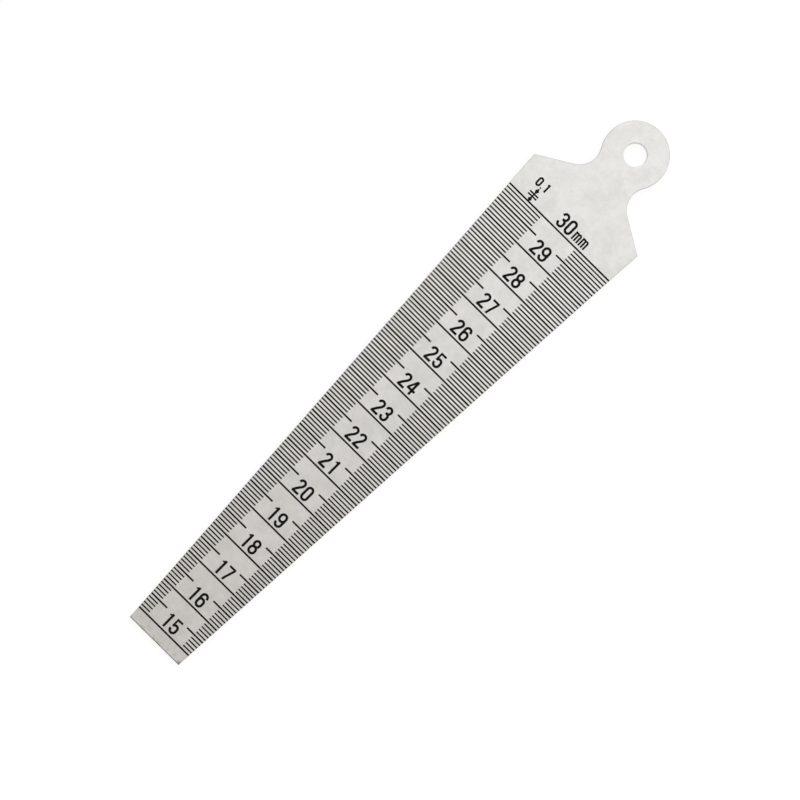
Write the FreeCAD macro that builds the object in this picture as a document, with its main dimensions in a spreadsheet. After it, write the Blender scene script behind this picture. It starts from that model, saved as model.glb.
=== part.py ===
import FreeCAD
import Part
import Sketcher
import math
import os

# A taper gauge: a flat steel blade that grows one millimetre wider in every eight of its length, with
# an etched line wherever its width is a whole number of millimetres. Millimetres and degrees. The blade
# lies on its plain back with the graduated face up, and its tab points to +Y.
SIZES = (
    ("thickness", "1.2", "steel sheet"),
    ("low_width", "15", "width, and so the reading, at the first full line"),
    ("high_width", "30", "width, and so the reading, at the last full line"),
    ("taper_ratio", "8", "length of blade for each unit by which its width grows"),
    ("reading_step", "1", "growth in width from one full line to the next"),
    ("step_divisions", "10", "spaces between two full lines"),
    ("end_margin", "3", "narrow end to the first full line"),
    ("shoulder_margin", "8.1", "last full line to the shoulder corners"),
    ("shoulder_angle", "59", "shoulder edges, from the blade's axis"),
    ("neck_radius", "4.8", "hollow between shoulder and tab"),
    ("tab_reach", "15", "shoulder corners to the tab's centre, along the axis"),
    ("tab_diameter", "14.8", "round tab"),
    ("hole_diameter", "5", "hanging hole, at the tab's centre"),
    ("end_break", "0.25", "chamfer of the narrow end, front and back, which leads the blade into a hole"),
    ("edge_break", "0.1", "chamfer round the rest of the outline, front and back"),
    ("hole_break", "0.2", "chamfer of the hole, front and back"),
    ("groove_depth", "0.05", "depth of the etched lines"),
    ("bold_line", "0.4", "width of the full and half lines"),
    ("fine_line", "0.33", "width of the short lines"),
    ("half_line_gap", "6", "bare width between the two half lines of a step"),
    ("short_line_gap", "10", "bare width between the short lines of the two sides"),
)

# Lengths along the blade that follow from the driving sizes, as the sheet's cells name them.
STEP_RUN = "Sizes.reading_step * Sizes.taper_ratio"
DIVISION_RUN = STEP_RUN + " / Sizes.step_divisions"
SCALE_RUN = "(Sizes.high_width - Sizes.low_width) * Sizes.taper_ratio"
STEP_COUNT = "round((Sizes.high_width - Sizes.low_width) / Sizes.reading_step)"
DIVISION_COUNT = "round((Sizes.high_width - Sizes.low_width) / Sizes.reading_step * Sizes.step_divisions)"
LENGTH = (
    "(Sizes.end_margin + " + SCALE_RUN + " + Sizes.shoulder_margin"
    " + Sizes.tab_reach + Sizes.tab_diameter / 2)"
)

# Sketcher's numbers for a point of a curve and for the sketch's own axes. The X axis starts at the origin.
START_INDEX, END_INDEX, CENTRE_INDEX = 1, 2, 3
X_AXIS_INDEX, Y_AXIS_INDEX = -1, -2
ORIGIN = (X_AXIS_INDEX, START_INDEX)

ON_PLANE = 1e-6
UP = FreeCAD.Vector(0, 0, 1)

doc = FreeCAD.newDocument("TaperGauge")
sheet = doc.addObject("Spreadsheet::Sheet", "Sizes")


def fill_sheet():
    for row, (name, number, meaning) in enumerate(SIZES, start=1):
        sheet.set(f"A{row}", meaning)
        sheet.set(f"B{row}", number)
        sheet.setAlias(f"B{row}", name)
    doc.recompute()


def size(name):
    return float(getattr(sheet, name))


def plane_sketch(body, name):
    sketch = body.newObject("Sketcher::SketchObject", name)
    plane = next(feature for feature in body.Origin.OriginFeatures if feature.Role == "XY_Plane")
    sketch.AttachmentSupport = [(plane, "")]
    sketch.MapMode = "FlatFace"
    return sketch


# A dimension of a sketch: the value it starts from, and the sheet's expression that drives it.
def drive(sketch, kind, references, value, expression):
    index = sketch.addConstraint(Sketcher.Constraint(kind, *references, value))
    sketch.setExpression(f"Constraints[{index}]", expression)


# Where the hollow of the neck has its centre: it touches the straight shoulder edge and the round tab.
def neck_centre(corner, tab_centre):
    angle = math.radians(size("shoulder_angle"))
    along = FreeCAD.Vector(-math.sin(angle), math.cos(angle), 0)
    outward = FreeCAD.Vector(math.cos(angle), math.sin(angle), 0)
    start = corner + outward * size("neck_radius")
    to_start = start - tab_centre
    centre_distance = size("neck_radius") + size("tab_diameter") / 2
    half_chord = math.sqrt(to_start.dot(along) ** 2 - to_start.dot(to_start) + centre_distance ** 2)
    return start + along * (-to_start.dot(along) - half_chord)


def mirrored(point):
    return FreeCAD.Vector(-point.x, point.y, point.z)


def arc(centre, radius, first_angle, last_angle):
    return Part.ArcOfCircle(Part.Circle(centre, UP, radius), first_angle, last_angle)


# The whole outline in one sketch, with the hole, as it is stamped. Its origin is on the first full line.
def draw_outline(body):
    sketch = plane_sketch(body, "Outline")
    scale_run = (size("high_width") - size("low_width")) * size("taper_ratio")
    end_width = size("low_width") - size("end_margin") / size("taper_ratio")
    shoulder_width = size("high_width") + size("shoulder_margin") / size("taper_ratio")
    shoulder_run = scale_run + size("shoulder_margin")
    neck_radius = size("neck_radius")
    tab_radius = size("tab_diameter") / 2

    end_corner = FreeCAD.Vector(end_width / 2, -size("end_margin"), 0)
    shoulder = FreeCAD.Vector(shoulder_width / 2, shoulder_run, 0)
    tab_centre = FreeCAD.Vector(0, shoulder_run + size("tab_reach"), 0)
    neck = neck_centre(shoulder, tab_centre)
    shoulder_touch = math.pi + math.radians(size("shoulder_angle"))
    tab_touch = math.atan2(tab_centre.y - neck.y, tab_centre.x - neck.x)
    neck_start = neck + FreeCAD.Vector(math.cos(shoulder_touch), math.sin(shoulder_touch), 0) * neck_radius

    end_edge = sketch.addGeometry(Part.LineSegment(mirrored(end_corner), end_corner))
    right_side = sketch.addGeometry(Part.LineSegment(end_corner, shoulder))
    right_shoulder = sketch.addGeometry(Part.LineSegment(shoulder, neck_start))
    right_neck = sketch.addGeometry(arc(neck, neck_radius, tab_touch, shoulder_touch))
    tab = sketch.addGeometry(arc(tab_centre, tab_radius, tab_touch - math.pi, 2 * math.pi - tab_touch))
    left_neck = sketch.addGeometry(
        arc(mirrored(neck), neck_radius, math.pi - shoulder_touch, math.pi - tab_touch)
    )
    left_shoulder = sketch.addGeometry(Part.LineSegment(mirrored(neck_start), mirrored(shoulder)))
    left_side = sketch.addGeometry(Part.LineSegment(mirrored(shoulder), mirrored(end_corner)))
    hole = sketch.addGeometry(Part.Circle(tab_centre, UP, size("hole_diameter") / 2))

    sketch.addConstraint([
        Sketcher.Constraint("Coincident", end_edge, END_INDEX, right_side, START_INDEX),
        Sketcher.Constraint("Coincident", right_side, END_INDEX, right_shoulder, START_INDEX),
        Sketcher.Constraint("Coincident", left_shoulder, END_INDEX, left_side, START_INDEX),
        Sketcher.Constraint("Coincident", left_side, END_INDEX, end_edge, START_INDEX),
        Sketcher.Constraint("Tangent", right_shoulder, END_INDEX, right_neck, END_INDEX),
        Sketcher.Constraint("Tangent", right_neck, START_INDEX, tab, START_INDEX),
        Sketcher.Constraint("Tangent", tab, END_INDEX, left_neck, END_INDEX),
        Sketcher.Constraint("Tangent", left_neck, START_INDEX, left_shoulder, START_INDEX),
        Sketcher.Constraint("Symmetric", end_edge, START_INDEX, end_edge, END_INDEX, Y_AXIS_INDEX),
        Sketcher.Constraint("Symmetric", left_side, START_INDEX, right_side, END_INDEX, Y_AXIS_INDEX),
        Sketcher.Constraint("Symmetric", left_shoulder, START_INDEX, right_shoulder, END_INDEX, Y_AXIS_INDEX),
        Sketcher.Constraint("PointOnObject", tab, CENTRE_INDEX, Y_AXIS_INDEX),
        Sketcher.Constraint("Coincident", hole, CENTRE_INDEX, tab, CENTRE_INDEX),
    ])
    drive(sketch, "DistanceY", (end_edge, START_INDEX, *ORIGIN), size("end_margin"), "Sizes.end_margin")
    drive(sketch, "DistanceX", (end_edge, START_INDEX, end_edge, END_INDEX), end_width,
          "Sizes.low_width - Sizes.end_margin / Sizes.taper_ratio")
    drive(sketch, "DistanceY", (*ORIGIN, right_side, END_INDEX), shoulder_run,
          SCALE_RUN + " + Sizes.shoulder_margin")
    drive(sketch, "DistanceX", (left_side, START_INDEX, right_side, END_INDEX), shoulder_width,
          "Sizes.high_width + Sizes.shoulder_margin / Sizes.taper_ratio")
    drive(sketch, "Angle", (right_shoulder,), math.pi / 2 + math.radians(size("shoulder_angle")),
          "90 + Sizes.shoulder_angle")
    drive(sketch, "DistanceY", (right_side, END_INDEX, tab, CENTRE_INDEX), size("tab_reach"),
          "Sizes.tab_reach")
    drive(sketch, "Radius", (right_neck,), neck_radius, "Sizes.neck_radius")
    drive(sketch, "Radius", (tab,), tab_radius, "Sizes.tab_diameter / 2")
    drive(sketch, "Radius", (hole,), size("hole_diameter") / 2, "Sizes.hole_diameter / 2")
    return sketch


# The place of a level edge: round the hole, across the narrow end as far as its chamfer, or elsewhere.
def place_of(edge):
    if edge.isClosed() and abs(edge.Curve.Radius - size("hole_diameter") / 2) < ON_PLANE:
        return "hole"
    if edge.BoundBox.YMax < size("end_break") - size("end_margin") + ON_PLANE:
        return "end"
    return "outline"


def level_edges(shape, place):
    return [
        f"Edge{number}"
        for number, edge in enumerate(shape.Edges, start=1)
        if edge.BoundBox.ZLength < ON_PLANE and place_of(edge) == place
    ]


def break_edges(body, name, before, place, size_name):
    chamfer = body.newObject("PartDesign::Chamfer", name)
    chamfer.Base = (before, level_edges(before.Shape, place))
    chamfer.setExpression("Size", "Sizes." + size_name)
    doc.recompute()
    return chamfer


# The blade before etching: stamped outline, then the edge breaks.
def make_blank():
    body = doc.addObject("PartDesign::Body", "Blank")
    pad = body.newObject("PartDesign::Pad", "Sheet_steel")
    pad.Profile = draw_outline(body)
    pad.setExpression("Length", "Sizes.thickness")
    doc.recompute()
    end_break = break_edges(body, "End_break", pad, "end", "end_break")
    outline_break = break_edges(body, "Outline_break", end_break, "outline", "edge_break")
    body.Tip = break_edges(body, "Hole_break", outline_break, "hole", "hole_break")
    return body


# One etched bar, square to the axis, between two distances from it: all four are (value, expression).
def draw_bar(sketch, left, right, middle, width):
    low = middle[0] - width[0] / 2
    high = middle[0] + width[0] / 2
    corners = [
        FreeCAD.Vector(left[0], low, 0),
        FreeCAD.Vector(right[0], low, 0),
        FreeCAD.Vector(right[0], high, 0),
        FreeCAD.Vector(left[0], high, 0),
    ]
    sides = [
        sketch.addGeometry(Part.LineSegment(corner, following))
        for corner, following in zip(corners, corners[1:] + corners[:1])
    ]
    for side, following in zip(sides, sides[1:] + sides[:1]):
        sketch.addConstraint(Sketcher.Constraint("Coincident", side, END_INDEX, following, START_INDEX))
    for side, direction in zip(sides, ("Horizontal", "Vertical", "Horizontal", "Vertical")):
        sketch.addConstraint(Sketcher.Constraint(direction, side))
    bottom = sides[0]
    drive(sketch, "DistanceX", (*ORIGIN, bottom, START_INDEX), *left)
    drive(sketch, "DistanceX", (*ORIGIN, bottom, END_INDEX), *right)
    drive(sketch, "DistanceY", (bottom, END_INDEX, sides[1], END_INDEX), *width)
    drive(sketch, "DistanceY", (*ORIGIN, bottom, START_INDEX), low, f"{middle[1]} - {width[1]} / 2")


# The sketches of the bars lie at the bottom of the grooves.
def groove_sketch(body, name):
    sketch = plane_sketch(body, name)
    sketch.setExpression("AttachmentOffset.Base.z", "Sizes.thickness - Sizes.groove_depth")
    return sketch


# Bars that repeat along the blade. They stand above the steel, so that they cut through its face.
def pad_and_repeat(body, sketch, name, spacing, count):
    pad = body.newObject("PartDesign::Pad", name)
    pad.Profile = sketch
    pad.setExpression("Length", "2 * Sizes.groove_depth")
    doc.recompute()
    pattern = body.newObject("PartDesign::LinearPattern", name + "_row")
    pattern.Originals = [pad]
    pattern.Direction = (sketch, ["V_Axis"])
    pattern.Mode = "Spacing"
    pattern.setExpression("Offset", spacing)
    pattern.setExpression("Occurrences", count)
    body.Tip = pattern
    doc.recompute()


# Every bar of the scale. They run out past both sides of the blade, which trims them.
def make_bars():
    body = doc.addObject("PartDesign::Body", "Bars")
    body.AllowCompound = True
    outside = (size("high_width"), "Sizes.high_width")
    outside_left = (-size("high_width"), "-Sizes.high_width")
    bold = (size("bold_line"), "Sizes.bold_line")
    fine = (size("fine_line"), "Sizes.fine_line")
    step_run = size("reading_step") * size("taper_ratio")

    full = groove_sketch(body, "Full_line")
    draw_bar(full, outside_left, outside, (0, "0"), bold)
    pad_and_repeat(body, full, "Full_lines", STEP_RUN, STEP_COUNT + " + 1")

    half = groove_sketch(body, "Half_line")
    half_start = size("half_line_gap") / 2
    half_middle = (step_run / 2, STEP_RUN + " / 2")
    draw_bar(half, outside_left, (-half_start, "-Sizes.half_line_gap / 2"), half_middle, bold)
    draw_bar(half, (half_start, "Sizes.half_line_gap / 2"), outside, half_middle, bold)
    pad_and_repeat(body, half, "Half_lines", STEP_RUN, STEP_COUNT)

    short = groove_sketch(body, "Short_line")
    short_start = size("short_line_gap") / 2
    short_middle = (step_run / size("step_divisions"), DIVISION_RUN)
    draw_bar(short, outside_left, (-short_start, "-Sizes.short_line_gap / 2"), short_middle, fine)
    draw_bar(short, (short_start, "Sizes.short_line_gap / 2"), outside, short_middle, fine)
    pad_and_repeat(body, short, "Short_lines", DIVISION_RUN, DIVISION_COUNT)
    return body


# The blank with the bars taken out of it, or the filling of the grooves that they leave. The box of
# the finished gauge is centred on the origin, so both parts move back along Y by the same length.
def make_part(kind, name, label, blank, bars):
    part = doc.addObject(kind, name)
    part.Label = label
    part.Base = blank
    part.Tool = bars
    part.setExpression("Placement.Base.y", f"Sizes.end_margin - {LENGTH} / 2")
    doc.recompute()
    return part


def check(blank, blade, filling):
    for item in doc.Objects:
        if "Invalid" in item.State or "Error" in item.State:
            raise RuntimeError(f"{item.Label} failed: {item.State}")
    for part in (blade, filling):
        if part.Shape.isNull() or not part.Shape.isValid():
            raise RuntimeError(f"{part.Label} has no valid shape")
    if len(blade.Shape.Solids) != 1:
        raise RuntimeError("the blade is not one solid")
    difference = blank.Shape.Volume - blade.Shape.Volume - filling.Shape.Volume
    if filling.Shape.Volume <= 0 or abs(difference) > blank.Shape.Volume * 1e-6:
        raise RuntimeError("the filling is not what the grooves leave")


def write_parts(parts):
    os.makedirs("parts", exist_ok=True)
    for part in parts:
        part.Shape.exportStep(f"parts/{part.Label}.step")
        box = part.Shape.BoundBox
        print(
            f"{part.Label}: {len(part.Shape.Solids)} solids, {part.Shape.Volume:.3f} mm3,"
            f" x {box.XMin:.3f} to {box.XMax:.3f}, y {box.YMin:.3f} to {box.YMax:.3f},"
            f" z {box.ZMin:.3f} to {box.ZMax:.3f}"
        )


fill_sheet()
blank = make_blank()
bars = make_bars()
blade = make_part("Part::Cut", "Blade", "blade", blank, bars)
filling = make_part("Part::Common", "Filling", "graduations", blank, bars)
check(blank, blade, filling)
write_parts((blade, filling))
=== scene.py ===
import bmesh
import bpy
import math
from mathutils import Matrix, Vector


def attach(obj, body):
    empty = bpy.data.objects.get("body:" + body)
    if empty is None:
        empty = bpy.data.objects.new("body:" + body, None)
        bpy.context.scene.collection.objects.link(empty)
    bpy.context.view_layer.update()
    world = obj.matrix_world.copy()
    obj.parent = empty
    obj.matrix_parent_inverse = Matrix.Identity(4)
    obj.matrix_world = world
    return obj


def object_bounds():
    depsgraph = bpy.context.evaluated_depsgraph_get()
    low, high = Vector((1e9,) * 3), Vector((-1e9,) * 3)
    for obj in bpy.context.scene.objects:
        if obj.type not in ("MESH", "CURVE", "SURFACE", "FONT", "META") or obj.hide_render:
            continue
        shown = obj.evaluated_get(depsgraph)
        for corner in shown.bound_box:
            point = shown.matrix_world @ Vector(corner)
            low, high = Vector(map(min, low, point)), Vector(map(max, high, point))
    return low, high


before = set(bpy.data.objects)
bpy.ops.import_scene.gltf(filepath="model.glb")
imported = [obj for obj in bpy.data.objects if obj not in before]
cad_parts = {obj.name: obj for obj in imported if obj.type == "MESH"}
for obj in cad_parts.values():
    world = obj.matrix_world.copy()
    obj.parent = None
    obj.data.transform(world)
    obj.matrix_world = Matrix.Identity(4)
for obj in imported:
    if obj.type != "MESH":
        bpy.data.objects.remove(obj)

mm = 0.001
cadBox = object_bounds()
print("frame loaded:", ", ".join(sorted(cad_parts)))

# The gauge's scale, in mm. The narrow end is at the front of the gauge's box, and the face is its top.
scale = {
    "endMargin": 3.0,       # narrow end to line 15
    "first": 15,
    "last": 30,
    "step": 8.0,            # one number to the next
    "film": 0.015,          # how far the lacquer of the numbers stands above the steel
    "root": 0.02,           # how far it is sunk in
}
faceHeight = cadBox[1].z / mm
firstLine = cadBox[0].y / mm + scale["endMargin"]
lastLine = firstLine + (scale["last"] - scale["first"]) * scale["step"]


# An sRGB colour as the linear values that a socket takes.
def linear(hexCode):
    channels = [int(hexCode[i:i + 2], 16) / 255 for i in (1, 3, 5)]
    return [c / 12.92 if c <= 0.04045 else ((c + 0.055) / 1.055) ** 2.4 for c in channels] + [1.0]


# Adds a node. A key is a property's name in small letters, or else a socket's name or number.
def addNode(tree, kind, settings, links=()):
    node = tree.nodes.new(kind)
    for key, value in settings.items():
        if isinstance(key, str) and key.islower():
            setattr(node, key, value)
        else:
            node.inputs[key].default_value = value
    for key, source, output in links:
        tree.links.new(source.outputs[output], node.inputs[key])
    return node


def newMaterial(name):
    material = bpy.data.materials.new(name)
    material.use_nodes = True
    material.node_tree.nodes.clear()
    return material, material.node_tree


# Stainless steel strip, rolled and satin ground along the blade. To the eye it is pale and silky, a
# little cloudy, with a grain that only shows where light rakes it. The stamped sides and the broken
# edges aren't ground, so they are greyer and duller and draw a fine dark line round the outline.
# Round the hole the edges carry painted light against the hole's shade; at the narrow end they carry
# painted shade.
def satinGroundStainless():
    look = {
        "steel": "#dedcd9",
        "cloud": "#d4d2ce",         # where the rolling left it slightly duller
        "cloudSize": 3.6,           # mm
        "cloudNoise": {"Detail": 5.0, "Roughness": 0.8},
        "cloudSpread": (0.4, 0.6),  # of the noise, from steel to cloud
        "cutEdge": "#cbc7c0",
        "holeEdgePaintedLight": "#f4f3f0",      # painted light: the hole's wall and edges lightened against the shade inside the hole
        "holeCentre": 7.4,          # mm below the tab's top
        "holeReach": 4.0,           # mm from its centre that the painted light reaches, past its edges and short of the tab's rim
        "wearAndPaintedShade": "#6a645b",          # painted shade on the narrow end's edge, and faint dark patches by it
        # The darkening fades out over its reach, in mm from the narrow end. It is most in its patches,
        # where the noise is above its level, and least between them. On the edge it is painted shade. The
        # ground face has only faint dark patches.
        "edgePaintedShade": {"reach": 0.9, "level": 0.42, "least": 0.65, "most": 1.0},
        "faceDarkening": {"reach": 3.5, "level": 0.54, "least": 0.0, "most": 0.36},
        "patchSize": 1.0,           # mm
        "patchNoise": {"Detail": 2.0},
        "patchBlur": 0.2,           # of the noise, from between the patches into them
        "corner": (7.2, 0.1),       # mm from the axis and from the narrow end, where the painted shade is darkest
        "cornerReach": 0.95,        # mm
        "cutRoughness": 0.42,
        "ground": (0.8, 0.95),      # how squarely a surface faces up or down, from cut edge to ground face
        "grainWidth": 0.12,         # mm; grit 240 leaves 0.02 to 0.05, drawn coarser so that it shows
        "grainLength": 12.0,        # mm
        "grainDepth": 0.0010,       # mm
        "grainNoise": {"Detail": 3.0, "Roughness": 0.6},
        "grainSpread": (0.3, 0.7),  # of the noise, from the smoothest to the roughest
        "roughness": (0.31, 0.41),
    }
    material, tree = newMaterial("satinGroundStainless")
    place = addNode(tree, "ShaderNodeTexCoord", {})
    across = 1 / (look["grainWidth"] * mm)
    along = 1 / (look["grainLength"] * mm)
    stretched = addNode(tree, "ShaderNodeMapping", {"Scale": (across, along, across)},
                        [("Vector", place, "Object")])
    grain = addNode(tree, "ShaderNodeTexNoise", {"Scale": 1.0, **look["grainNoise"]},
                    [("Vector", stretched, 0)])
    cloud = addNode(tree, "ShaderNodeTexNoise",
                    {"Scale": 1 / (look["cloudSize"] * mm), **look["cloudNoise"]},
                    [("Vector", place, "Object")])
    clear, dull = look["cloudSpread"]
    dullness = addNode(tree, "ShaderNodeMapRange", {"From Min": clear, "From Max": dull},
                       [("Value", cloud, 0)])
    clouded = addNode(tree, "ShaderNodeMix",
                      {"data_type": "RGBA", 6: linear(look["steel"]), 7: linear(look["cloud"])},
                      [("Factor", dullness, 0)])
    low, high = look["roughness"]
    smoothest, roughest = look["grainSpread"]
    faceRoughness = addNode(tree, "ShaderNodeMapRange",
                            {"From Min": smoothest, "From Max": roughest, "To Min": low, "To Max": high},
                            [("Value", grain, 0)])
    shape = addNode(tree, "ShaderNodeNewGeometry", {})
    facing = addNode(tree, "ShaderNodeSeparateXYZ", {}, [(0, shape, "True Normal")])
    squarely = addNode(tree, "ShaderNodeMath", {"operation": "ABSOLUTE"}, [(0, facing, "Z")])
    cut, ground = look["ground"]
    face = addNode(tree, "ShaderNodeMapRange", {"From Min": cut, "From Max": ground},
                   [("Value", squarely, 0)])
    spot = addNode(tree, "ShaderNodeSeparateXYZ", {}, [(0, place, "Object")])
    end = cadBox[0].y
    patches = addNode(tree, "ShaderNodeTexNoise",
                      {"Scale": 1 / (look["patchSize"] * mm), **look["patchNoise"]},
                      [("Vector", place, "Object")])
    cornerX, cornerY = look["corner"]
    fromCorner = addNode(tree, "ShaderNodeVectorMath",
                         {"operation": "DISTANCE", 1: (cornerX * mm, end + cornerY * mm, faceHeight * mm)},
                         [(0, place, "Object")])
    darkest = addNode(tree, "ShaderNodeMapRange",
                      {"From Max": look["cornerReach"] * mm, "To Min": 1.0, "To Max": 0.0},
                      [("Value", fromCorner, "Value")])

    # How far a surface takes the darker colour by the narrow end, with all of it at the dark corner of
    # painted shade.
    def rubbed(reach, level, least, most):
        inPatch = level + look["patchBlur"]
        patchy = addNode(tree, "ShaderNodeMapRange",
                         {"From Min": level, "From Max": inPatch, "To Min": least, "To Max": most},
                         [("Value", patches, 0)])
        near = addNode(tree, "ShaderNodeMapRange",
                       {"From Min": end, "From Max": end + reach * mm, "To Min": 1.0, "To Max": 0.0},
                       [("Value", spot, "Y")])
        spread = addNode(tree, "ShaderNodeMath", {"operation": "MULTIPLY"}, [(0, near, 0), (1, patchy, 0)])
        return addNode(tree, "ShaderNodeMath", {"operation": "MAXIMUM"}, [(0, spread, 0), (1, darkest, 0)])

    # Painted light: near the hole, the wall and edges take the lighter colour, against the shade inside the
    # hole.
    holeCentre = (0, cadBox[1].y - look["holeCentre"] * mm, faceHeight * mm)
    fromHole = addNode(tree, "ShaderNodeVectorMath", {"operation": "DISTANCE", 1: holeCentre},
                       [(0, place, "Object")])
    paintedLightInHole = addNode(tree, "ShaderNodeMath", {"operation": "LESS_THAN", 1: look["holeReach"] * mm},
                     [(0, fromHole, "Value")])
    cutColourAndHoleLight = addNode(tree, "ShaderNodeMix",
                        {"data_type": "RGBA", 6: linear(look["cutEdge"]), 7: linear(look["holeEdgePaintedLight"])},
                        [("Factor", paintedLightInHole, 0)])
    # Painted shade darkens the edges by the narrow end, and faint dark patches the face there.
    edgeColour = addNode(tree, "ShaderNodeMix", {"data_type": "RGBA", 7: linear(look["wearAndPaintedShade"])},
                         [("Factor", rubbed(**look["edgePaintedShade"]), 0), (6, cutColourAndHoleLight, 2)])
    faceColour = addNode(tree, "ShaderNodeMix", {"data_type": "RGBA", 7: linear(look["wearAndPaintedShade"])},
                         [("Factor", rubbed(**look["faceDarkening"]), 0), (6, clouded, 2)])
    colour = addNode(tree, "ShaderNodeMix", {"data_type": "RGBA"},
                     [("Factor", face, 0), (6, edgeColour, 2), (7, faceColour, 2)])
    roughness = addNode(tree, "ShaderNodeMix", {"data_type": "FLOAT", 2: look["cutRoughness"]},
                        [("Factor", face, 0), (3, faceRoughness, 0)])
    bump = addNode(tree, "ShaderNodeBump", {"Strength": 1.0, "Distance": look["grainDepth"] * mm},
                   [("Height", grain, 0)])
    shader = addNode(tree, "ShaderNodeBsdfPrincipled", {"Metallic": 1.0},
                     [("Base Color", colour, 2), ("Roughness", roughness, 0), ("Normal", bump, 0)])
    addNode(tree, "ShaderNodeOutputMaterial", {}, [("Surface", shader, 0)])
    return material


# Black lacquer wiped into the etching and baked. It reads as a dense dead black with almost no shine.
def bakedBlackLacquer():
    look = {
        "black": "#090909",
        # in the lacquer this is its own worn tone, with no painted shade
        "wearAndPaintedShade": "#121211",
        "toothSize": 0.12,          # mm; the pigment's own tooth is finer, drawn coarser so that it shows
        "toothNoise": {"Detail": 2.0},
        "toothDepth": 0.002,        # mm
        "toothStrength": 0.5,
        "roughness": 0.6,
        "shine": 0.1,               # a matting agent takes most of the lacquer's reflection away
    }
    material, tree = newMaterial("bakedBlackLacquer")
    place = addNode(tree, "ShaderNodeTexCoord", {})
    tooth = addNode(tree, "ShaderNodeTexNoise",
                    {"Scale": 1 / (look["toothSize"] * mm), **look["toothNoise"]},
                    [("Vector", place, "Object")])
    colour = addNode(tree, "ShaderNodeMix",
                     {"data_type": "RGBA", 6: linear(look["black"]), 7: linear(look["wearAndPaintedShade"])},
                     [("Factor", tooth, 0)])
    bump = addNode(tree, "ShaderNodeBump",
                   {"Strength": look["toothStrength"], "Distance": look["toothDepth"] * mm},
                   [("Height", tooth, 0)])
    shader = addNode(tree, "ShaderNodeBsdfPrincipled",
                     {"Roughness": look["roughness"], "Specular IOR Level": look["shine"]},
                     [("Base Color", colour, 2), ("Normal", bump, 0)])
    addNode(tree, "ShaderNodeOutputMaterial", {}, [("Surface", shader, 0)])
    return material


def giveMaterial(thing, material):
    thing.data.materials.clear()
    thing.data.materials.append(material)


lacquer = bakedBlackLacquer()
giveMaterial(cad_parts["blade"], satinGroundStainless())
giveMaterial(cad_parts["graduations"], lacquer)
print("steel and lacquer on the blade and its lines")

# The figures are an upright narrow gothic of even strokes. A stroke is given by its middle line, in mm
# from the middle lines of a nought's left side and bottom.
figure = {
    "width": 1.33,          # middle line to middle line of a nought
    "height": 3.03,         # the same, from its bottom to its top
    "stroke": 0.56,
    "bar": 0.49,            # level strokes at the top of 5 and 7 are a little thinner
    "inset": 0.05,          # flat ends stop short of where round ones reach
    "advance": 2.26,        # one figure to the next
    "base": 0.84,           # the line below to the nought's bottom
    "turn": 9,              # degrees of each facet of a curve
    "apart": 0.0001,        # points of a path closer than this are one
    "weld": 0.001,          # corners closer than this become one where strokes join
    "flat": 0.5,            # degrees; faces that lie flatter than this to each other become one
}


# Part of a circle, between two angles in degrees from the right.
def arc(x, y, radius, start, end):
    count = max(2, math.ceil(abs(end - start) / figure["turn"]))
    angles = [math.radians(start + (end - start) * i / count) for i in range(count + 1)]
    return [(x + radius * math.cos(a), y + radius * math.sin(a)) for a in angles]


# The same stretched to an ellipse, by its reach across and up from its centre.
def bow(x, y, across, up, start, end):
    return [(x + (px - x) * across, y + (py - y) * up) for px, py in arc(x, y, 1, start, end)]


# A closed ring with round ends, between two sides and two heights.
def ring(left, right, low, high):
    radius = (right - left) / 2
    middle = (left + right) / 2
    return arc(middle, low + radius, radius, 180, 360) + arc(middle, high - radius, radius, 0, 180)


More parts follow.
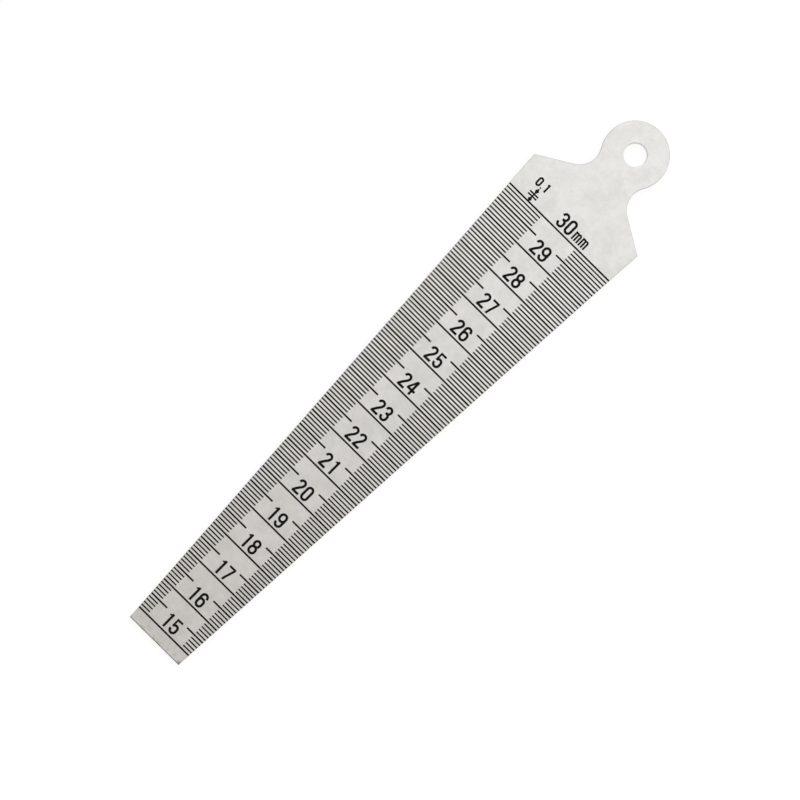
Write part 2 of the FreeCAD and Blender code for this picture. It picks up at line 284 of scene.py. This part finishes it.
# A figure as its strokes: a line, a ring or a plate, its points and its width. A plate is filled inside
# its points and has no width.
def strokesOf(sign):
    w, h = figure["width"], figure["height"]
    stroke, bar = figure["stroke"], figure["bar"]
    foot = figure["inset"] - stroke / 2
    crown = h - figure["inset"] + stroke / 2
    topBar = crown - bar / 2
    return {
        "0": [("ring", ring(0, w, 0, h), stroke)],
        "1": [
            ("line", [(0.89, foot), (0.89, crown)], stroke),
            ("plate", [(0.18, 2.57), (0.89, 2.60), (0.89, crown), (0.665, crown), (0.52, 3.0),
                       (0.18, 2.83)], 0),
        ],
        "2": [
            ("line", [(0.03, 2.34)] + bow(0.69, 2.42, 0.655, 0.62, 172, -20)
                + [(1.16, 1.80), (0.66, 1.16), (0.33, 0.66), (-0.02, 0.05)], stroke),
            ("line", [(-0.25, foot + stroke / 2), (1.59, foot + stroke / 2)], stroke),
        ],
        "3": [
            ("line", [(0.0, 2.34)] + bow(0.655, 2.42, 0.645, 0.62, 172, 0)
                + bow(0.63, 2.27, 0.67, 0.64, 0, -75) + [(0.40, 1.63)], stroke),
            ("line", [(0.40, 1.63)] + bow(0.63, 0.99, 0.715, 0.65, 75, 0)
                + bow(0.665, 0.70, 0.68, 0.70, 0, -172) + [(-0.015, 0.79)], stroke),
        ],
        "4": [
            ("line", [(0.995, foot), (0.995, crown)], stroke),
            ("line", [(-0.37, 0.92), (1.785, 0.92)], stroke),
            ("plate", [(-0.37, 0.9), (-0.37, 1.12), (0.64, crown), (1.0, crown), (1.0, 2.9), (0.14, 1.1),
                       (0.14, 0.9)], 0),
        ],
        "5": [
            ("line", [(-0.14, topBar), (1.455, topBar)], bar),
            ("plate", [(-0.14, crown), (-0.14, 1.28), (0.30, 1.28), (0.31, crown)], 0),
            ("line", [(0.10, 1.30)] + bow(0.73, 1.14, 0.66, 0.68, 158, 0)
                + bow(0.70, 0.68, 0.69, 0.68, 0, -172) + [(0.02, 0.79)], stroke),
        ],
        "6": [
            ("ring", ring(-0.03, 1.36, 0, 1.83), stroke),
            ("line", [(-0.03, 0.8), (-0.03, 2.36)] + bow(0.645, 2.38, 0.675, 0.65, 172, 8)
                + [(1.325, 2.22)], stroke),
        ],
        "7": [
            ("line", [(-0.2, topBar), (1.55, topBar)], bar),
            ("plate", [(0.17, foot), (0.71, foot), (0.93, 0.76), (1.23, 1.64), (1.55, 2.70), (1.55, 2.9),
                       (1.07, 2.9), (1.02, 2.72), (0.71, 1.68), (0.39, 0.74)], 0),
        ],
        "8": [
            ("ring", ring(0.025, 1.305, 1.64, h), stroke),
            ("ring", ring(-0.045, 1.375, 0, 1.61), stroke),
        ],
        "9": [
            ("ring", ring(-0.045, 1.405, 1.33, h), stroke),
            ("line", [(1.405, 2.2), (1.405, 0.70)] + bow(0.70, 0.68, 0.705, 0.68, 0, -172)
                + [(0.02, 0.79)], stroke),
        ],
    }[sign]


# A path without the points that fall on the one before.
def distinct(points, closed):
    kept = []
    for point in points:
        if not kept or math.dist(kept[-1], point) > figure["apart"]:
            kept.append(point)
    if closed and math.dist(kept[0], kept[-1]) < figure["apart"]:
        kept.pop()
    return kept


# How far a ribbon's edge lies from its middle line at each point, square to it and mitred in a bend.
def offsets(points, width, closed):
    found = []
    for i, point in enumerate(points):
        ends = [(points[i - 1], point)] if i or closed else []
        if closed or i + 1 < len(points):
            ends.append((point, points[(i + 1) % len(points)]))
        square = [((a[1] - b[1]) / math.dist(a, b), (b[0] - a[0]) / math.dist(a, b)) for a, b in ends]
        x = sum(s[0] for s in square) / len(square)
        y = sum(s[1] for s in square) / len(square)
        reach = width / 2 / (x * x + y * y)
        found.append((x * reach, y * reach))
    return found


# Twice the area inside a closed path, which is positive if the path runs anticlockwise.
def turned(path):
    return sum(a[0] * b[1] - a[1] * b[0] for a, b in zip(path, path[1:] + path[:1]))


# One stroke as a flat slab of lacquer: its corners in mm, and its faces.
def slab(kind, points, width):
    low = faceHeight - scale["root"]
    high = faceHeight + scale["film"]
    closed = kind == "ring"
    path = distinct(points, closed)
    count = len(path)
    if kind == "plate":
        if turned(path) < 0:
            path.reverse()
        corners = [(x, y, low) for x, y in path] + [(x, y, high) for x, y in path]
        walls = [(i, (i + 1) % count, (i + 1) % count + count, i + count) for i in range(count)]
        return corners, [tuple(reversed(range(count))), tuple(range(count, 2 * count))] + walls
    corners = []
    for (x, y), (dx, dy) in zip(path, offsets(path, width, closed)):
        corners += [(x + dx * side, y + dy * side, z) for z in (low, high) for side in (1, -1)]
    faces = []
    for i in range(count if closed else count - 1):
        a, b = 4 * i, 4 * ((i + 1) % count)
        faces += [(a, b, b + 1, a + 1), (a + 3, b + 3, b + 2, a + 2),
                  (a + 2, b + 2, b, a), (a + 1, b + 1, b + 3, a + 3)]
    if not closed:
        last = 4 * (count - 1)
        faces += [(0, 1, 3, 2), (last, last + 2, last + 3, last + 1)]
    return corners, faces


def newMesh(name, corners, faces):
    mesh = bpy.data.meshes.new(name)
    mesh.from_pydata([[c * mm for c in corner] for corner in corners], [], faces)
    mesh.update()
    thing = bpy.data.objects.new(name, mesh)
    bpy.context.scene.collection.objects.link(thing)
    return thing


# The strokes of one sign joined to a single solid, as corners in mm and faces.
def joined(strokes):
    slabs = [newMesh(f"stroke{i}", *slab(*stroke)) for i, stroke in enumerate(strokes)]
    for other in slabs[1:]:
        union = slabs[0].modifiers.new("union", "BOOLEAN")
        union.operation = "UNION"
        union.solver = "EXACT"
        union.object = other
    bpy.context.view_layer.update()
    mesh = bpy.data.meshes.new_from_object(slabs[0].evaluated_get(bpy.context.evaluated_depsgraph_get()))
    solid = bmesh.new()
    solid.from_mesh(mesh)
    bmesh.ops.remove_doubles(solid, verts=solid.verts, dist=figure["weld"] * mm)
    bmesh.ops.dissolve_limit(solid, verts=solid.verts, edges=solid.edges,
                             angle_limit=math.radians(figure["flat"]))
    bmesh.ops.triangulate(solid, faces=solid.faces)
    solid.verts.index_update()
    corners = [[c / mm for c in vertex.co] for vertex in solid.verts]
    faces = [[vertex.index for vertex in face.verts] for face in solid.faces]
    solid.free()
    for thing in slabs:
        bpy.data.objects.remove(thing)
    return corners, faces


# Signs set side by side as one piece of lacquer on the face: each is a joined sign and where it goes.
def printPiece(name, signs):
    corners, faces = [], []
    for (signCorners, signFaces), x, y in signs:
        first = len(corners)
        corners += [(cx + x, cy + y, cz) for cx, cy, cz in signCorners]
        faces += [[first + i for i in face] for face in signFaces]
    piece = newMesh(name, corners, faces)
    giveMaterial(piece, lacquer)
    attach(piece, "root")


signs = {sign: joined(strokesOf(sign)) for sign in "0123456789"}
left = -(figure["advance"] + figure["width"]) / 2
for number in range(scale["first"], scale["last"] + 1):
    y = firstLine + (number - scale["first"]) * scale["step"] + figure["base"]
    tens, ones = str(number)
    printPiece(f"number_{number}", [(signs[tens], left, y), (signs[ones], left + figure["advance"], y)])
print("numbers", scale["first"], "to", scale["last"])

# The unit beside the last number: two small letters with round shoulders.
unit = {
    "stemGap": 0.67,        # stem to stem
    "stroke": 0.42,
    "height": 2.10,         # from foot to top
    "base": 0.75,           # the last line to the letters' feet
    "start": 2.82,          # the blade's axis to the first stem
    "advance": 2.01,        # one letter to the next
    "branch": 0.5,          # how far up a stem the stroke of the next shoulder starts inside it
}


def letterM():
    gap = unit["stemGap"]
    shoulder = unit["height"] - (gap + unit["stroke"]) / 2
    strokes = [("line", [(0, 0), (0, unit["height"])], unit["stroke"])]
    for x in (0, gap):
        curve = arc(x + gap / 2, shoulder, gap / 2, 180, 0)
        strokes.append(("line", [(x, unit["branch"])] + curve + [(x + gap, 0)], unit["stroke"]))
    return joined(strokes)


letter = letterM()
y = lastLine + unit["base"]
printPiece("unit_mm", [(letter, unit["start"], y), (letter, unit["start"] + unit["advance"], y)])

# The mark that gives the finest division: 0.1, over two short lines between two arrowheads.
mark = {
    "middle": -9.45,        # the arrows, from the blade's axis
    "base": 3.8,            # the last line to the middle line of the figures' feet
    "height": 1.8,
    "stroke": 0.44,
    "nought": (-1.46, -0.63),   # middle lines of its sides, from the arrows
    "one": 1.14,            # middle line of its stem, from the arrows
    "flagReach": 0.42,      # from that line to the left
    "flagDrop": (0.22, 0.5),    # from the top of the 1 to the flag's two outer corners
    "flagStart": 0.12,      # left of that line, where the flag's slope leaves the top, inside the stem
    "inset": 0.07,          # the flat ends of the 1 stop short of where the nought reaches
    "point": 0.33,          # the square decimal point's side
    "lines": (1.33, 1.95),  # above the last line
    "lineReach": 1.22,      # to each side of the arrows
    "lineWidth": 0.37,
    "shaft": 0.34,          # the arrows' width
    "shaftGap": 0.35,       # the shaft's end to the middle line of the figures' feet
    "headWidth": 1.0,
    "headLengths": (0.75, 0.9),     # of the arrow below and the one above, up to the widest place
    "headBack": 0.4,        # from there to where it has narrowed to the shaft again
}


def finestDivisionMark():
    low, high = mark["base"], mark["base"] + mark["height"]
    stroke, one, half = mark["stroke"], mark["one"], mark["point"] / 2
    foot, crown = low - stroke / 2 + mark["inset"], high + stroke / 2 - mark["inset"]
    lowerLine, upperLine = mark["lines"]
    lowerHead, upperHead = mark["headLengths"]
    wing, back, shaft = mark["headWidth"] / 2, mark["headBack"], mark["shaft"] / 2
    reach = mark["lineReach"]
    flagTip, flagStart = one - mark["flagReach"], one - mark["flagStart"]
    upperDrop, lowerDrop = mark["flagDrop"]
    nought = [("ring", ring(*mark["nought"], low, high), stroke)]
    point = [("plate", [(-half, foot), (half, foot), (half, foot + 2 * half), (-half, foot + 2 * half)], 0)]
    figureOne = [
        ("line", [(one, foot), (one, crown)], stroke),
        ("plate", [(flagTip, crown - lowerDrop), (one, crown - lowerDrop), (one, crown),
                   (flagStart, crown), (flagTip, crown - upperDrop)], 0),
    ]
    arrows = [
        ("line", [(0, 0), (0, low - mark["shaftGap"])], 2 * shaft),
        ("plate", [(0, upperLine), (wing, upperLine + upperHead), (shaft, upperLine + upperHead + back),
                   (-shaft, upperLine + upperHead + back), (-wing, upperLine + upperHead)], 0),
        ("plate", [(0, lowerLine), (-wing, lowerLine - lowerHead), (-shaft, lowerLine - lowerHead - back),
                   (shaft, lowerLine - lowerHead - back), (wing, lowerLine - lowerHead)], 0),
        ("line", [(-reach, upperLine), (reach, upperLine)], mark["lineWidth"]),
        ("line", [(-reach, lowerLine), (reach, lowerLine)], mark["lineWidth"]),
    ]
    return [joined(strokes) for strokes in (nought, point, figureOne, arrows)]


printPiece("mark_finest_division", [(sign, mark["middle"], lastLine) for sign in finestDivisionMark()])
print("unit and finest division mark")

# A plain white sheet under the gauge. The camera and shiny surfaces see it glow up to white, and the
# gauge's soft shadow stays on it.
sheet = {
    "size": 6.0,            # m
    "paper": "#7c7c7c",     # the share of its white that takes the shadow
    "glow": 0.825,          # strength of the rest
    "roughness": 0.9,
    "gap": 0.02,            # mm, under the gauge's flat back
}


def whitePaper():
    material, tree = newMaterial("whitePaper")
    path = addNode(tree, "ShaderNodeLightPath", {})
    seen = addNode(tree, "ShaderNodeMath", {"operation": "MAXIMUM"},
                   [(0, path, "Is Camera Ray"), (1, path, "Is Glossy Ray")])
    glow = addNode(tree, "ShaderNodeMath", {"operation": "MULTIPLY", 1: sheet["glow"]}, [(0, seen, 0)])
    shader = addNode(tree, "ShaderNodeBsdfPrincipled",
                     {"Base Color": linear(sheet["paper"]), "Roughness": sheet["roughness"],
                      "Specular IOR Level": 0.0, "Emission Color": (1, 1, 1, 1)},
                     [("Emission Strength", glow, 0)])
    addNode(tree, "ShaderNodeOutputMaterial", {}, [("Surface", shader, 0)])
    return material


half = sheet["size"] / 2 / mm
corners = [(-half, -half, 0), (half, -half, 0), (half, half, 0), (-half, half, 0)]
floor = newMesh("floor", corners, [(0, 1, 2, 3)])
floor.location.z = cadBox[0].z - sheet["gap"] * mm
giveMaterial(floor, whitePaper())

# A white room with a brighter half over the tab, so that the steel's sheen fades to the narrow end. The
# room darkens towards the horizon, which draws the edge breaks as fine dark lines.
room = {
    "dull": "#fffcf9",
    "bright": "#fcfeff",
    "dullStrength": 0.67,
    "brightStrength": 1.43,
    "border": (0.02, 0.09),     # how far along Y a direction points where the halves meet
    "horizon": 0.5,             # share of the strength that is left there
    "overhead": 0.6,            # how far up a direction points where the room has its whole strength
}


def whiteRoom():
    world = bpy.data.worlds.new("whiteRoom")
    world.use_nodes = True
    tree = world.node_tree
    tree.nodes.clear()
    place = addNode(tree, "ShaderNodeTexCoord", {})
    parts = addNode(tree, "ShaderNodeSeparateXYZ", {}, [(0, place, "Generated")])
    start, end = room["border"]
    half = addNode(tree, "ShaderNodeMapRange", {"From Min": start, "From Max": end},
                   [("Value", parts, "Y")])
    level = addNode(tree, "ShaderNodeMapRange",
                    {"To Min": room["dullStrength"], "To Max": room["brightStrength"]},
                    [("Value", half, 0)])
    height = addNode(tree, "ShaderNodeMapRange",
                     {"From Max": room["overhead"], "To Min": room["horizon"]},
                     [("Value", parts, "Z")])
    strength = addNode(tree, "ShaderNodeMath", {"operation": "MULTIPLY"}, [(0, level, 0), (1, height, 0)])
    tint = addNode(tree, "ShaderNodeMix",
                   {"data_type": "RGBA", 6: linear(room["dull"]), 7: linear(room["bright"])},
                   [("Factor", half, 0)])
    lit = addNode(tree, "ShaderNodeBackground", {}, [("Color", tint, 2), ("Strength", strength, 0)])
    white = addNode(tree, "ShaderNodeBackground", {"Color": (1, 1, 1, 1), "Strength": 1.0})
    path = addNode(tree, "ShaderNodeLightPath", {})
    shown = addNode(tree, "ShaderNodeMixShader", {},
                    [(0, path, "Is Camera Ray"), (1, lit, 0), (2, white, 0)])
    addNode(tree, "ShaderNodeOutputWorld", {}, [("Surface", shown, 0)])
    bpy.context.scene.world = world


whiteRoom()
print("floor and room")

# The camera looks straight down. It is turned so that the gauge rises from low left to high right.
shot = {
    "turn": 44.72,          # degrees about the vertical
    "middle": (1.095, -3.195),  # mm on the gauge's face, at the picture's centre
    "width": 170.88,        # mm of the face from the picture's left side to its right
    "lens": 100.0,
    "sensor": 36.0,
}
camera = bpy.data.objects.new("camera", bpy.data.cameras.new("camera"))
camera.data.lens = shot["lens"]
camera.data.sensor_width = shot["sensor"]
distance = shot["width"] * shot["lens"] / shot["sensor"]
camera.location = [c * mm for c in (*shot["middle"], faceHeight + distance)]
camera.rotation_euler.z = math.radians(shot["turn"])
bpy.context.scene.collection.objects.link(camera)
bpy.context.scene.camera = camera
bpy.context.scene.view_settings.view_transform = "Standard"
